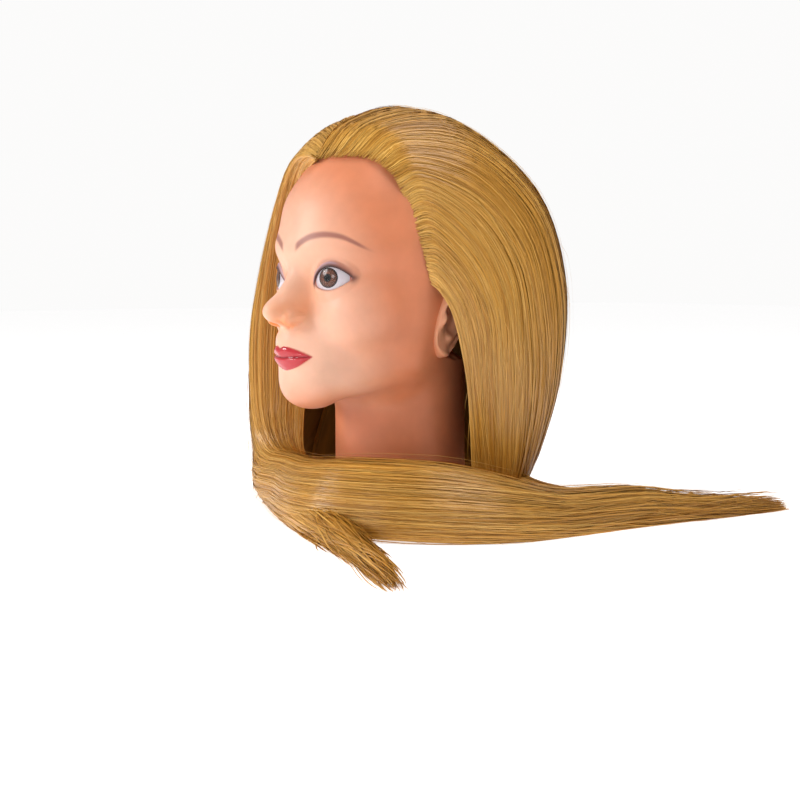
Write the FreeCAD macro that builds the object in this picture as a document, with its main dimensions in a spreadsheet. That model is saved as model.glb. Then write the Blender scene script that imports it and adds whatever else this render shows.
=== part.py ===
import FreeCAD, Part
import Sketcher
import os
from math import atan2, cos, degrees, radians, sin

# Hairdresser's training head: a soft moulded head and neck over a foam core, with a rooted
# scalp, acrylic eyes, a clamp socket in the neck, and long hair swept round onto the table.
# Millimetres. +Z is up, the face looks along -Y, +X is the head's own left side.
# The origin is the mouth of the clamp socket, at the middle of the neck's flat bottom.

Vector = FreeCAD.Vector
Rotation = FreeCAD.Rotation

doc = FreeCAD.newDocument("mannequin_training_head")
sheet = doc.addObject("Spreadsheet::Sheet", "Sizes")

DRIVING_SIZES = [
    ("head_width", 144, "breadth of the skull above the ears"),
    ("face_reach", 92, "neck axis to the brow"),
    ("skull_reach", 88, "neck axis to the back of the skull"),
    ("chin_height", 77, "underside of the chin above the table"),
    ("crown_height", 286, "top of the bare scalp above the table"),
    ("eye_height", 169, "pupils above the table"),
    ("skin_wall", 3, "thickness of the soft moulded skin"),
    ("hairline_tilt", 47, "slope of the edge between face skin and scalp, degrees"),
    ("hairline_height", 252, "that edge above the table at the brow end"),
    ("nose_reach", 23, "tip of the nose ahead of the brow"),
    ("nose_height", 149, "middle of the nose above the table"),
    ("nose_width", 27, "breadth across the wings of the nose"),
    ("ear_length", 61, "top of the ear to its lobe"),
    ("ear_width", 33, "front of the ear to its back"),
    ("ear_height", 145, "middle of the ear above the table"),
    ("ear_stand", 8, "how far the ear stands out of the skin"),
    ("neck_width", 101, "diameter of the neck where it stands on the table"),
    ("neck_taper", 3, "how much slimmer the neck is under the jaw"),
    ("eye_radius", 20, "radius of the acrylic eye"),
    ("eye_spacing", 62, "distance between the pupils"),
    ("eye_turn", 22, "how far each eye faces outward, degrees"),
    ("eye_set", 82, "neck axis to the front of the eye"),
    ("eye_wall", 2.5, "wall of the eye's white shell"),
    ("eye_fit", 0.2, "gap round the eye in its pocket"),
    ("iris_width", 14, "diameter of the printed iris"),
    ("iris_thickness", 0.8, "thickness of the iris disc"),
    ("socket_bore", 24, "bore that takes the clamp's post"),
    ("socket_depth", 65, "depth of that bore"),
    ("socket_wall", 2.5, "wall of the socket cup"),
    ("socket_flange", 6, "how far the cup's flange stands out"),
    ("flange_thickness", 2.5, "thickness of that flange"),
    ("plate_thickness", 6, "thickness of the neck's base plate"),
    ("screw_circle", 66, "diameter of the circle that the base screws stand on"),
    ("screw_length", 20, "length of a base screw under its head"),
    ("screw_width", 4, "shank diameter of a base screw"),
    ("screw_head", 7.6, "head diameter of a base screw"),
    ("head_depth", 2.4, "height of a base screw's head"),
    ("hair_lift", 13, "hair's thickness over the crown"),
    ("hair_width", 208, "breadth over the hair at ear height"),
    ("hair_depth", 254, "front to back over the hair at ear height"),
    ("hair_thickness", 24, "thickness of the hanging hair"),
    ("curtain_side", 76, "neck axis to the inner face of the right-hand curtain"),
    ("parting_height", 236, "where the top section meets the sections below it"),
    ("parting_back", 34, "where the side sections meet the back ones, behind the neck axis"),
    ("parting_side", 6, "where left sections meet right ones, left of the middle"),
    ("crown_drop", 148, "lower edge of the crown section"),
    ("sweep_radius", 112, "neck axis to the middle of the swept lock"),
    ("sweep_width", 84, "breadth of the swept lock lying on the table"),
    ("sweep_height", 50, "height of the swept lock in front of the neck"),
    ("tail_reach", 228, "tip of the tail behind the neck axis"),
    ("tail_side", 172, "tip of the tail to the left of the neck axis"),
    ("front_reach", 281, "neck axis to the end of the front lock"),
    ("lock_lift", 0.4, "gap between a lock and the table"),
]
for row, (alias, value, note) in enumerate(DRIVING_SIZES, 1):
    sheet.set(f"A{row}", note)
    sheet.set(f"B{row}", str(value))
    sheet.setAlias(f"B{row}", alias)
doc.recompute()

BEYOND = 400  # half-size of a cutting block, larger than the whole object
sub_parts = []  # every object that is a piece of the real thing


def size(alias):
    return float(sheet.get(alias))


def evaluate(expression):
    return float(FreeCAD.Units.Quantity(str(sheet.evalExpression(expression))).Value)


def bind(item, **expressions):
    """Ties properties to the sheet; 'Base_x' stands for Placement.Base.x and so on."""
    for name, expression in expressions.items():
        if name.startswith("Base_"):
            name = "Placement.Base." + name[-1]
        item.setExpression(name, expression)
    return item


def solid(kind, name, **expressions):
    return bind(doc.addObject(kind, name), **expressions)


def cut(name, base, tool):
    item = doc.addObject("Part::Cut", name)
    item.Base = base
    item.Tool = tool
    return item


def cut_all(name, base, tools):
    for number, tool in enumerate(tools, 1):
        base = cut(f"{name}_cut_{number}", base, tool)
    return base


def fuse(name, shapes):
    item = doc.addObject("Part::MultiFuse", name)
    item.Shapes = shapes
    return item


def common(name, shapes):
    item = doc.addObject("Part::MultiCommon", name)
    item.Shapes = shapes
    return item


def piece(item, label):
    item.Label = label
    sub_parts.append(item)
    return item


def block(name, x_low, x_high, y_low, y_high, z_low, z_high):
    """A box between two levels in each direction, each level a sheet expression."""
    return solid(
        "Part::Box",
        name,
        Base_x=x_low,
        Base_y=y_low,
        Base_z=z_low,
        Length=f"({x_high}) - ({x_low})",
        Width=f"({y_high}) - ({y_low})",
        Height=f"({z_high}) - ({z_low})",
    )


def ellipse(name, across, upward, turn, x="0", y="0", z="0"):
    """An ellipse with given half sizes along its own X and Y, turned and put in place.

    The longer half size has to come first in the object, so its own X may be either one;
    the outline starts at the same point both ways, which keeps lofts free of twist."""
    ring = doc.addObject("Part::Ellipse", name)
    if evaluate(across) >= evaluate(upward):
        bind(ring, MajorRadius=across, MinorRadius=upward)
    else:
        bind(ring, MajorRadius=upward, MinorRadius=across)
        turn = turn.multiply(Rotation(Vector(0, 0, 1), 90))
        ring.Angle1 = 270
        ring.Angle2 = 270
    ring.Placement = FreeCAD.Placement(Vector(), turn)
    return bind(ring, Base_x=x, Base_y=y, Base_z=z)


def level_ring(name, height, half_width, front, back):
    """A level ellipse on the middle plane that reaches from front to back."""
    quarter = Rotation(Vector(0, 0, 1), 90)
    depth = f"(({front}) + ({back})) / 2"
    middle_y = f"(({back}) - ({front})) / 2"
    return ellipse(name, depth, half_width, quarter, y=middle_y, z=height)


def loft(name, rings):
    item = doc.addObject("Part::Loft", name)
    item.Sections = rings
    item.Solid = True
    item.Ruled = False
    return item


# ---------------------------------------------------------------- head and neck

# height from chin to crown, then half width, front and back, as shares of the driving sizes
HEAD_STATIONS = [
    (0.00, 0.26, 1.03, -0.50),
    (0.04, 0.48, 1.09, -0.10),
    (0.10, 0.70, 1.10, 0.34),
    (0.19, 0.84, 1.08, 0.72),
    (0.31, 0.91, 1.03, 0.92),
    (0.45, 0.96, 0.98, 1.00),
    (0.61, 1.00, 1.00, 1.00),
    (0.76, 0.94, 0.89, 0.95),
    (0.885, 0.74, 0.66, 0.76),
    (0.965, 0.42, 0.37, 0.43),
    (1.00, 0.10, 0.12, 0.12),
]


def head_loft(name, inset):
    """The skull and face as level rings, drawn in from the skin's face by inset."""
    rings = []
    for number, (share, half, front, back) in enumerate(HEAD_STATIONS):
        span = f"(Sizes.crown_height - Sizes.chin_height - 2 * {inset})"
        rings.append(
            level_ring(
                f"{name}_ring_{number}",
                f"Sizes.chin_height + {inset} + {share} * {span}",
                f"{half} * (Sizes.head_width / 2 - {inset})",
                f"{front} * (Sizes.face_reach - {inset})",
                f"{back} * (Sizes.skull_reach - {inset})",
            )
        )
    return loft(name, rings)


def neck_cone(name, inset):
    top = "(Sizes.chin_height + (Sizes.eye_height - Sizes.chin_height) / 3)"
    return solid(
        "Part::Cone",
        name,
        Radius1=f"Sizes.neck_width / 2 - {inset}",
        Radius2=f"Sizes.neck_width / 2 - Sizes.neck_taper - {inset}",
        Height=top,
    )


def egg(name, x, y, z, half_x, half_y, half_z):
    return solid(
        "Part::Ellipsoid",
        name,
        Radius1=half_z,
        Radius2=half_x,
        Radius3=half_y,
        Base_x=x,
        Base_y=y,
        Base_z=z,
    )


def ear(name, side):
    """A flat egg half sunk in the side of the head, hollowed by a smaller one."""
    skin = "(0.46 * Sizes.head_width)"
    body = egg(
        name + "_body",
        f"{side} * ({skin} - 2)",
        "0",
        "Sizes.ear_height",
        "Sizes.ear_stand + 2",
        "Sizes.ear_width / 2",
        "Sizes.ear_length / 2",
    )
    hollow = egg(
        name + "_hollow",
        f"{side} * ({skin} + Sizes.ear_stand)",
        "-0.06 * Sizes.ear_width",
        "Sizes.ear_height + 0.04 * Sizes.ear_length",
        "Sizes.ear_stand * 0.55",
        "Sizes.ear_width * 0.3",
        "Sizes.ear_length * 0.28",
    )
    return cut(name, body, hollow)


nose = egg(
    "nose",
    "0",
    "-Sizes.face_reach + 2",
    "Sizes.nose_height",
    "Sizes.nose_width / 2",
    "Sizes.nose_reach + 2",
    "Sizes.nose_width * 0.8",
)
head_outside = fuse(
    "head_outside",
    [
        head_loft("head_outer_loft", "0"),
        neck_cone("neck_outer", "0"),
        nose,
        ear("left_ear", 1),
        ear("right_ear", -1),
    ],
)
head_inside = fuse(
    "head_inside",
    [
        head_loft("head_inner_loft", "Sizes.skin_wall"),
        neck_cone("neck_inner", "Sizes.skin_wall"),
    ],
)
moulded_shell = cut("moulded_shell", head_outside, head_inside)

# the scalp lies above a plane that slopes down from the brow to the nape
scalp_zone = solid("Part::Box", "scalp_zone")
scalp_zone.Length = 2 * BEYOND
scalp_zone.Width = 2 * BEYOND
scalp_zone.Height = BEYOND
scalp_zone.Placement = FreeCAD.Placement(
    Vector(), Rotation(Vector(1, 0, 0), -size("hairline_tilt"))
)
# the block's lower face is slid along its own slope so that it is centred on the brow end
bind(
    scalp_zone,
    Base_x=f"-{BEYOND}",
    Base_y=f"-0.82 * Sizes.face_reach - {BEYOND} * cos(Sizes.hairline_tilt)",
    Base_z=f"Sizes.hairline_height + {BEYOND} * sin(Sizes.hairline_tilt)",
)
scalp_zone.setExpression("Placement.Rotation.Angle", "-Sizes.hairline_tilt")


# ---------------------------------------------------------------- eyes


def eye_pieces(side_name, side):
    """White shell, iris disc and clear lens of one eye, made about the eye's own centre."""
    flat = "sqrt(Sizes.eye_radius^2 - (Sizes.iris_width / 2)^2)"
    seat = f"({flat} - 0.5)"
    name = side_name + "_eye"
    turn = side * size("eye_turn")
    gaze = Rotation(Vector(0, 0, 1), turn).multiply(Rotation(Vector(1, 0, 0), 90))

    def place(item):
        item.Placement = FreeCAD.Placement(Vector(), gaze)
        return bind(
            item,
            Base_x=f"{side} * (Sizes.eye_spacing / 2"
            " - Sizes.eye_radius * sin(Sizes.eye_turn))",
            Base_y="-Sizes.eye_set + Sizes.eye_radius * cos(Sizes.eye_turn)",
            Base_z="Sizes.eye_height",
        )

    def ball(suffix, radius):
        item = solid("Part::Sphere", name + suffix, Radius=radius)
        item.Angle1 = 0
        return item

    outer = ball("_front_half", "Sizes.eye_radius")
    inner = ball("_hollow", "Sizes.eye_radius - Sizes.eye_wall")
    window = solid(
        "Part::Cylinder",
        name + "_window",
        Radius="Sizes.iris_width / 2",
        Height="Sizes.eye_radius",
        Base_z=f"{seat} - Sizes.iris_thickness",
    )
    white = cut(name + "_white_shell", cut(name + "_shell", outer, inner), window)
    disc = solid(
        "Part::Cylinder",
        name + "_iris_disc",
        Radius="Sizes.iris_width / 2",
        Height="Sizes.iris_thickness",
        Base_z=f"{seat} - Sizes.iris_thickness",
    )
    iris = common(name + "_iris_in_ball", [disc, ball("_iris_ball", "Sizes.eye_radius")])
    lens_slug = solid(
        "Part::Cylinder",
        name + "_lens_slug",
        Radius="Sizes.iris_width / 2",
        Height="Sizes.eye_radius",
        Base_z=seat,
    )
    lens = common(name + "_lens_cap", [lens_slug, ball("_lens_ball", "Sizes.eye_radius")])
    piece(place(white), side_name + "_eye_white")
    piece(place(iris), side_name + "_eye_iris")
    piece(place(lens), side_name + "_eye_lens")
    pocket = solid(
        "Part::Sphere", name + "_pocket", Radius="Sizes.eye_radius + Sizes.eye_fit"
    )
    return place(pocket)


pockets = fuse("eye_pockets", [eye_pieces("left", 1), eye_pieces("right", -1)])


# ---------------------------------------------------------------- neck fittings


def origin_plane(body, role):
    for feature in body.Origin.OriginFeatures:
        if feature.Role == role:
            return feature
    raise ValueError(role)


def turned_body(name, corners):
    """A body of revolution about Z from (radius, height) corners, as sheet expressions."""
    body = doc.addObject("PartDesign::Body", name)
    sketch = body.newObject("Sketcher::SketchObject", name + "_section")
    sketch.AttachmentSupport = [(origin_plane(body, "XZ_Plane"), "")]
    sketch.MapMode = "FlatFace"
    count = len(corners)
    rough = [(evaluate(radius), evaluate(height)) for radius, height in corners]
    for number in range(count):
        start = Vector(*rough[number], 0)
        end = Vector(*rough[(number + 1) % count], 0)
        sketch.addGeometry(Part.LineSegment(start, end), False)
    for number in range(count):
        join = (number, 2, (number + 1) % count, 1)
        sketch.addConstraint(Sketcher.Constraint("Coincident", *join))
    for number, (radius, height) in enumerate(corners):
        for kind, value in (("DistanceX", radius), ("DistanceY", height)):
            if abs(evaluate(value)) < 1e-9:
                axis = -2 if kind == "DistanceX" else -1
                rule = Sketcher.Constraint("PointOnObject", number, 1, axis)
                sketch.addConstraint(rule)
                continue
            rule = Sketcher.Constraint(kind, -1, 1, number, 1, evaluate(value))
            index = sketch.addConstraint(rule)
            sketch.setExpression(f"Constraints[{index}]", value)
    turn = body.newObject("PartDesign::Revolution", name + "_turned")
    turn.Profile = sketch
    turn.ReferenceAxis = (sketch, ["V_Axis"])
    turn.Angle = 360
    doc.recompute()
    return body


bore = "(Sizes.socket_bore / 2)"
cup = f"({bore} + Sizes.socket_wall)"
flange = f"({cup} + Sizes.socket_flange)"
socket_cup = turned_body(
    "socket_cup",
    [
        (bore, "0"),
        (flange, "0"),
        (flange, "Sizes.flange_thickness"),
        (cup, "Sizes.flange_thickness"),
        (cup, "Sizes.socket_depth + Sizes.socket_wall"),
        ("0", "Sizes.socket_depth + Sizes.socket_wall"),
        ("0", "Sizes.socket_depth"),
        (bore, "Sizes.socket_depth"),
    ],
)
piece(socket_cup, "clamp_socket_cup")

plate_rim = "(Sizes.neck_width / 2 - Sizes.skin_wall)"
base_plate = turned_body(
    "base_plate",
    [
        (flange, "0"),
        (plate_rim, "0"),
        (plate_rim, "Sizes.plate_thickness"),
        (cup, "Sizes.plate_thickness"),
        (cup, "Sizes.flange_thickness"),
        (flange, "Sizes.flange_thickness"),
    ],
)
SCREW_COUNT = 3


def cut_screw_seats(body):
    """Clearance holes with room for the screw heads, let in from under the plate."""
    sketch = body.newObject("Sketcher::SketchObject", "screw_seat_sketch")
    sketch.AttachmentSupport = [(origin_plane(body, "XY_Plane"), "")]
    sketch.MapMode = "FlatFace"
    middle = Vector(0, size("screw_circle") / 2, 0)
    circle = Part.Circle(middle, Vector(0, 0, 1), size("screw_head") / 2 + 0.3)
    sketch.addGeometry(circle, False)
    sketch.addConstraint(Sketcher.Constraint("PointOnObject", 0, 3, -2))
    offset = sketch.addConstraint(
        Sketcher.Constraint("DistanceY", -1, 1, 0, 3, size("screw_circle") / 2)
    )
    sketch.setExpression(f"Constraints[{offset}]", "Sizes.screw_circle / 2")
    radius = sketch.addConstraint(
        Sketcher.Constraint("Radius", 0, size("screw_head") / 2 + 0.3)
    )
    sketch.setExpression(f"Constraints[{radius}]", "Sizes.screw_head / 2 + 0.3")
    seat = body.newObject("PartDesign::Pocket", "screw_seat")
    seat.Profile = sketch
    seat.setExpression("Length", "Sizes.head_depth + 0.6")
    seat.Reversed = True
    shank_sketch = body.newObject("Sketcher::SketchObject", "screw_hole_sketch")
    shank_sketch.AttachmentSupport = [(origin_plane(body, "XY_Plane"), "")]
    shank_sketch.MapMode = "FlatFace"
    hole = Part.Circle(middle, Vector(0, 0, 1), size("screw_width") / 2)
    shank_sketch.addGeometry(hole, False)
    shank_sketch.addConstraint(Sketcher.Constraint("PointOnObject", 0, 3, -2))
    offset = shank_sketch.addConstraint(
        Sketcher.Constraint("DistanceY", -1, 1, 0, 3, size("screw_circle") / 2)
    )
    shank_sketch.setExpression(f"Constraints[{offset}]", "Sizes.screw_circle / 2")
    radius = shank_sketch.addConstraint(
        Sketcher.Constraint("Radius", 0, size("screw_width") / 2)
    )
    shank_sketch.setExpression(f"Constraints[{radius}]", "Sizes.screw_width / 2")
    through = body.newObject("PartDesign::Pocket", "screw_hole")
    through.Profile = shank_sketch
    through.Type = "ThroughAll"
    through.Reversed = True
    doc.recompute()
    before = body.Shape.Volume
    pattern = body.newObject("PartDesign::PolarPattern", "screw_hole_pattern")
    pattern.Originals = [seat, through]
    pattern.Axis = (origin_plane(body, "Z_Axis"), [""])
    pattern.Angle = 360
    pattern.Occurrences = SCREW_COUNT
    body.Tip = pattern
    doc.recompute()
    if body.Shape.Volume >= before:
        raise RuntimeError("the screw hole pattern cut nothing")


cut_screw_seats(base_plate)
piece(base_plate, "neck_base_plate")

head_radius = "(Sizes.screw_head / 2)"
shank_radius = "(Sizes.screw_width / 2)"
screw = turned_body(
    "base_screw",
    [
        ("0", "0.6"),
        (head_radius, "0.6"),
        (head_radius, "0.6 + Sizes.head_depth"),
        (shank_radius, "0.6 + Sizes.head_depth"),
        (shank_radius, "0.6 + Sizes.screw_length - Sizes.screw_width"),
        ("0", "0.6 + Sizes.screw_length"),
    ],
)
screw_solids = []
for number in range(SCREW_COUNT):
    copy = doc.addObject("App::Link", f"base_screw_{number}")
    copy.LinkedObject = screw
    around = radians(90 + 360 * number / SCREW_COUNT)
    bind(
        copy,
        Base_x=f"Sizes.screw_circle / 2 * {cos(around):.6f}",
        Base_y=f"Sizes.screw_circle / 2 * {sin(around):.6f}",
    )
    screw_solids.append(copy)
screws = doc.addObject("Part::Compound", "base_screws")
screws.Links = screw_solids
piece(screws, "base_plate_screws")

fittings = fuse(
    "fitting_space",
    [
        solid(
            "Part::Cylinder",
            "cup_space",
            Radius=cup,
            Height="Sizes.socket_depth + Sizes.socket_wall",
        ),
        solid(
            "Part::Cylinder",
            "plate_space",
            Radius=plate_rim,
            Height="Sizes.plate_thickness",
        ),
        screws,
    ],
)
core_blank = cut("core_blank", head_inside, pockets)
piece(cut("core", core_blank, fittings), "foam_core")
bare_face = cut("bare_face", moulded_shell, scalp_zone)
piece(cut_all("face", bare_face, [pockets, fittings]), "face_and_neck_skin")
scalp = common("scalp", [moulded_shell, scalp_zone])
piece(scalp, "scalp_cap")


# ---------------------------------------------------------------- hanging hair

# height as a share of the whole, then half width, front and back, as shares of the hair's sizes
HAIR_STATIONS = [
    (0.012, 0.78, 0.86, 0.70),
    (0.09, 0.84, 0.90, 0.76),
    (0.19, 0.92, 0.93, 0.90),
    (0.33, 0.97, 0.95, 0.99),
    (0.51, 1.00, 0.94, 1.06),
    (0.685, 0.92, 0.82, 1.01),
    (0.795, 0.80, 0.71, 0.88),
    (0.91, 0.58, 0.56, 0.64),
    (0.975, 0.34, 0.36, 0.36),
    (1.00, 0.12, 0.14, 0.13),
]


def hair_rings(name, inset, top_share):
    rings = []
    whole = "(Sizes.crown_height + Sizes.hair_lift)"
    for number, (share, half, front, back) in enumerate(HAIR_STATIONS):
        if share > top_share:
            break
        rings.append(
            level_ring(
                f"{name}_ring_{number}",
                f"{share} * {whole}" if number or inset == "0" else "-2",
                f"{half} * Sizes.hair_width / 2 - {inset}",
                f"{front} * Sizes.hair_depth / 2 - {inset}",
                f"{back} * Sizes.hair_depth / 2 - {inset}",
            )
        )
    return rings


hair_hull = loft("hair_hull", hair_rings("hair_hull", "0", 1))
under_hair = loft("under_hair", hair_rings("under_hair", "Sizes.hair_thickness", 0.4))
slope = block(
    "face_side",
    "-Sizes.curtain_side",
    f"{BEYOND}",
    f"-{BEYOND}",
    "Sizes.ear_width / 6",
    "-2",
    "Sizes.hairline_height + 20",
)
face_opening = cut("face_opening", slope, scalp_zone)


def hair_section(label, zone, hollows=(under_hair, head_outside)):
    """The part of the hair's hull that lies in a zone, less the head and the hollows in it."""
    hull_part = common(label + "_in_hull", [hair_hull, zone])
    return piece(cut_all(label + "_shell", hull_part, hollows), label)


low = "-1"
high = f"{BEYOND}"
wide = f"{BEYOND}"
parting = "Sizes.parting_height"
behind = "Sizes.parting_back"
middle = "Sizes.parting_side"
drop = "Sizes.crown_drop"
open_front = (face_opening, under_hair, head_outside)
top_zone = block("top_zone", "-" + wide, wide, "-" + wide, wide, parting, high)
hair_section("hair_top_section", top_zone, (face_opening, head_outside))
crown_zone = block("crown_zone", "-" + wide, wide, behind, wide, drop, parting)
hair_section("hair_crown_section", crown_zone, (head_outside,))
left_zone = block("left_zone", middle, wide, "-" + wide, behind, low, parting)
left_side = hair_section("hair_left_side_section", left_zone, open_front)
right_zone = block("right_zone", "-" + wide, middle, "-" + wide, behind, low, parting)
right_side = hair_section("hair_right_side_section", right_zone, open_front)
left_back_zone = block("left_back_zone", middle, wide, behind, wide, low, drop)
left_back = hair_section("hair_left_back_section", left_back_zone)
right_back_zone = block("right_back_zone", "-" + wide, middle, behind, wide, low, drop)
hair_section("hair_right_back_section", right_back_zone)


# ---------------------------------------------------------------- locks on the table


def lock_rings(name, stations):
    """Upright ellipses along a lock that lies on the table.

    A station is x, y, half width and half height, each a size's name and a share of it."""
    rings = []
    middles = [(size(a) * b, size(c) * d) for (a, b), (c, d), _, _ in stations]
    for number, (along_x, along_y, half, rise) in enumerate(stations):
        before = middles[max(number - 1, 0)]
        after = middles[min(number + 1, len(stations) - 1)]
        heading = degrees(atan2(after[1] - before[1], after[0] - before[0]))
        level = Rotation(Vector(0, 0, 1), heading - 90)
        ring = ellipse(
            f"{name}_ring_{number}",
            f"Sizes.{half[0]} * {half[1]}",
            f"Sizes.{rise[0]} * {rise[1]}",
            level.multiply(Rotation(Vector(1, 0, 0), 90)),
            x=f"Sizes.{along_x[0]} * {along_x[1]}",
            y=f"Sizes.{along_y[0]} * {along_y[1]}",
            z=f"Sizes.{rise[0]} * {rise[1]} + Sizes.lock_lift",
        )
        rings.append(ring)
    return rings


def station(x, y, half, rise):
    """A station given in the tail's own sizes: shares of its reach, side, breadth and height."""
    return (
        ("tail_side", x),
        ("tail_reach", y),
        ("sweep_width", half),
        ("sweep_height", rise),
    )


def around(angle, share, half, rise, reach="sweep_radius"):
    """A station on a circle round the neck, usually the sweep's own."""
    return (
        (reach, round(share * cos(radians(angle)), 4)),
        (reach, round(share * sin(radians(angle)), 4)),
        ("sweep_width", half),
        ("sweep_height", rise),
    )


sweep_rings = lock_rings(
    "sweep",
    [
        around(-120, 0.94, 0.30, 0.48),
        around(-92, 0.98, 0.38, 0.50),
        around(-56, 1.00, 0.46, 0.50),
        around(-20, 1.03, 0.50, 0.46),
        around(9, 1.24, 0.45, 0.38),
        station(0.89, 0.34, 0.36, 0.28),
        station(0.92, 0.58, 0.25, 0.19),
        station(0.96, 0.81, 0.15, 0.11),
        station(1.00, 1.00, 0.05, 0.04),
    ],
)
TAIL_START = 4  # the ring where the swept lock ends and the tail begins
swept = cut_all("swept", loft("sweep", sweep_rings[: TAIL_START + 1]), [left_side, right_side])
piece(swept, "hair_swept_lock")
tail = piece(loft("tail", sweep_rings[TAIL_START:]), "hair_tail_lock")
front_lock = loft(
    "front_lock",
    lock_rings(
        "front_lock",
        [
            around(-74, 1.06, 0.26, 0.24),
            around(-55, 0.59, 0.24, 0.19, "front_reach"),
            around(-45, 0.755, 0.17, 0.12, "front_reach"),
            around(-39, 0.89, 0.10, 0.07, "front_reach"),
            around(-35.4, 1.00, 0.04, 0.035, "front_reach"),
        ],
    ),
)
piece(cut_all("front_lock_end", front_lock, [swept]), "hair_front_lock")
gathered = loft(
    "gathered",
    lock_rings(
        "gathered",
        [
            (("hair_width", 0.272), ("hair_depth", 0.256), ("sweep_width", 0.26), ("sweep_height", 0.20)),
            around(45, 1.13, 0.24, 0.17),
            around(47, 1.47, 0.16, 0.13),
            around(51, 1.83, 0.08, 0.07),
        ],
    ),
)
clear_of = [left_back, left_side, swept, tail]
piece(cut_all("gathered_end", gathered, clear_of), "hair_gathered_lock")


# ---------------------------------------------------------------- check and write

doc.recompute()
for item in doc.Objects:
    if "Invalid" in item.State or "Error" in item.State:
        raise RuntimeError(f"{item.Name} failed: {item.State}")
labels = [item.Label for item in sub_parts]
if len(set(labels)) != len(labels):
    raise RuntimeError("two sub-parts share a label")
for item in sub_parts:
    if item.Shape.isNull() or not item.Shape.isValid() or not item.Shape.Solids:
        raise RuntimeError(f"{item.Label} has no valid solid")

os.makedirs("parts", exist_ok=True)
for item in sub_parts:
    item.Shape.exportStep(f"parts/{item.Label}.step")
    volume = item.Shape.Volume / 1000
    print(f"{item.Label}: {len(item.Shape.Solids)} solid(s), {volume:.1f} cm3")
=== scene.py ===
from math import cos, pi, radians, sin

import bpy
import numpy as np
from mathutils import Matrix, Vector


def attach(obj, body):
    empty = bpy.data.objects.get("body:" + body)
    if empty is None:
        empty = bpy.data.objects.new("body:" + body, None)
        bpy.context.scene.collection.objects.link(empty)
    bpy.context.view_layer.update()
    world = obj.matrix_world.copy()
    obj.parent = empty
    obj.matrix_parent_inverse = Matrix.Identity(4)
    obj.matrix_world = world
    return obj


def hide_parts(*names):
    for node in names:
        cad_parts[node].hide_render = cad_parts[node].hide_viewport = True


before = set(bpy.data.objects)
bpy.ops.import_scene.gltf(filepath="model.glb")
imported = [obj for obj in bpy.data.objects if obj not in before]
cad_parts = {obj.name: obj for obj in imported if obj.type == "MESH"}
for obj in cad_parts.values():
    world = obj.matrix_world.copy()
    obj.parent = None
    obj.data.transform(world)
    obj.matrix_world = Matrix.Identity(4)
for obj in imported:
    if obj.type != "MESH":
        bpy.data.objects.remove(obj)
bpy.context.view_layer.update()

# A hairdresser's training head standing on its neck, its long hair swept round onto the table.
# Shapes are worked out in millimetres in the frame of the CAD model and made in metres:
# +Z up, the face looks along -Y, +X is the head's own left side.

MM = 0.001
ROOT = "root"
UP = np.array([0.0, 0.0, 1.0])


# ---------------------------------------------------------------- camera


def add_camera():
    """A camera at the photograph's angle, a metre off and at eye height."""
    azimuth = radians(55)
    distance = 1.0
    height = 0.170
    aim_height = 0.0795
    focal_share = 1.689  # focal length over the width of the picture
    data = bpy.data.cameras.new("camera")
    data.sensor_width = 36
    data.lens = data.sensor_width * focal_share
    data.clip_start = 0.01
    camera = bpy.data.objects.new("camera", data)
    bpy.context.scene.collection.objects.link(camera)
    camera.location = (distance * sin(azimuth), -distance * cos(azimuth), height)
    pitch = np.arctan2(height - aim_height, distance)
    camera.rotation_euler = (pi / 2 - pitch, 0, azimuth)
    bpy.context.scene.camera = camera


add_camera()
bpy.context.scene.view_settings.view_transform = "Standard"


# ---------------------------------------------------------------- meshes


def new_mesh_object(name, vertices, faces):
    """A smooth object from arrays: vertices in millimetres, faces all with equal corner counts."""
    vertices = np.asarray(vertices, dtype=np.float64) * MM
    faces = np.asarray(faces, dtype=np.int64)
    corners = faces.shape[1]
    mesh = bpy.data.meshes.new(name)
    mesh.vertices.add(len(vertices))
    mesh.vertices.foreach_set("co", vertices.ravel())
    mesh.loops.add(faces.size)
    mesh.loops.foreach_set("vertex_index", faces.ravel().astype(np.int32))
    mesh.polygons.add(len(faces))
    starts = np.arange(0, faces.size, corners, dtype=np.int32)
    mesh.polygons.foreach_set("loop_start", starts)
    mesh.polygons.foreach_set("use_smooth", np.full(len(faces), True))
    mesh.update(calc_edges=True)
    mesh.validate()
    item = bpy.data.objects.new(name, mesh)
    bpy.context.scene.collection.objects.link(item)
    return item


def set_colour(item, name, colours):
    """A colour for each vertex, as red, green and blue from 0 to 1."""
    layer = item.data.color_attributes.new(name, "FLOAT_COLOR", "POINT")
    full = np.ones((len(colours), 4))
    full[:, :3] = colours
    layer.data.foreach_set("color", full.ravel())


def set_number(item, name, values):
    """A number for each vertex."""
    layer = item.data.attributes.new(name, "FLOAT", "POINT")
    layer.data.foreach_set("value", np.asarray(values, dtype=np.float32))


def set_uv(item, across, along):
    """Texture coordinates from one pair of values for each vertex."""
    mesh = item.data
    layer = mesh.uv_layers.new(name="UVMap")
    index = np.zeros(len(mesh.loops), dtype=np.int32)
    mesh.loops.foreach_get("vertex_index", index)
    pairs = np.stack([across[index], along[index]], axis=1)
    layer.data.foreach_set("uv", pairs.ravel())


def grid_faces(rows, columns, closed=False):
    """Quads over a grid of vertices stored row by row."""
    wrap = columns if closed else columns - 1
    row, column = np.meshgrid(np.arange(rows - 1), np.arange(wrap), indexing="ij")
    beside = (column + 1) % columns
    quads = [
        row * columns + column,
        row * columns + beside,
        (row + 1) * columns + beside,
        (row + 1) * columns + column,
    ]
    return np.stack(quads, axis=-1).reshape(-1, 4)


def add_piece(item, material, slot, *nodes):
    """Puts a finished piece on the body and in place of its CAD nodes; the slot is not used."""
    item.data.materials.append(material)
    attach(item, ROOT)
    if nodes:
        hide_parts(*nodes)
    return item


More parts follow.
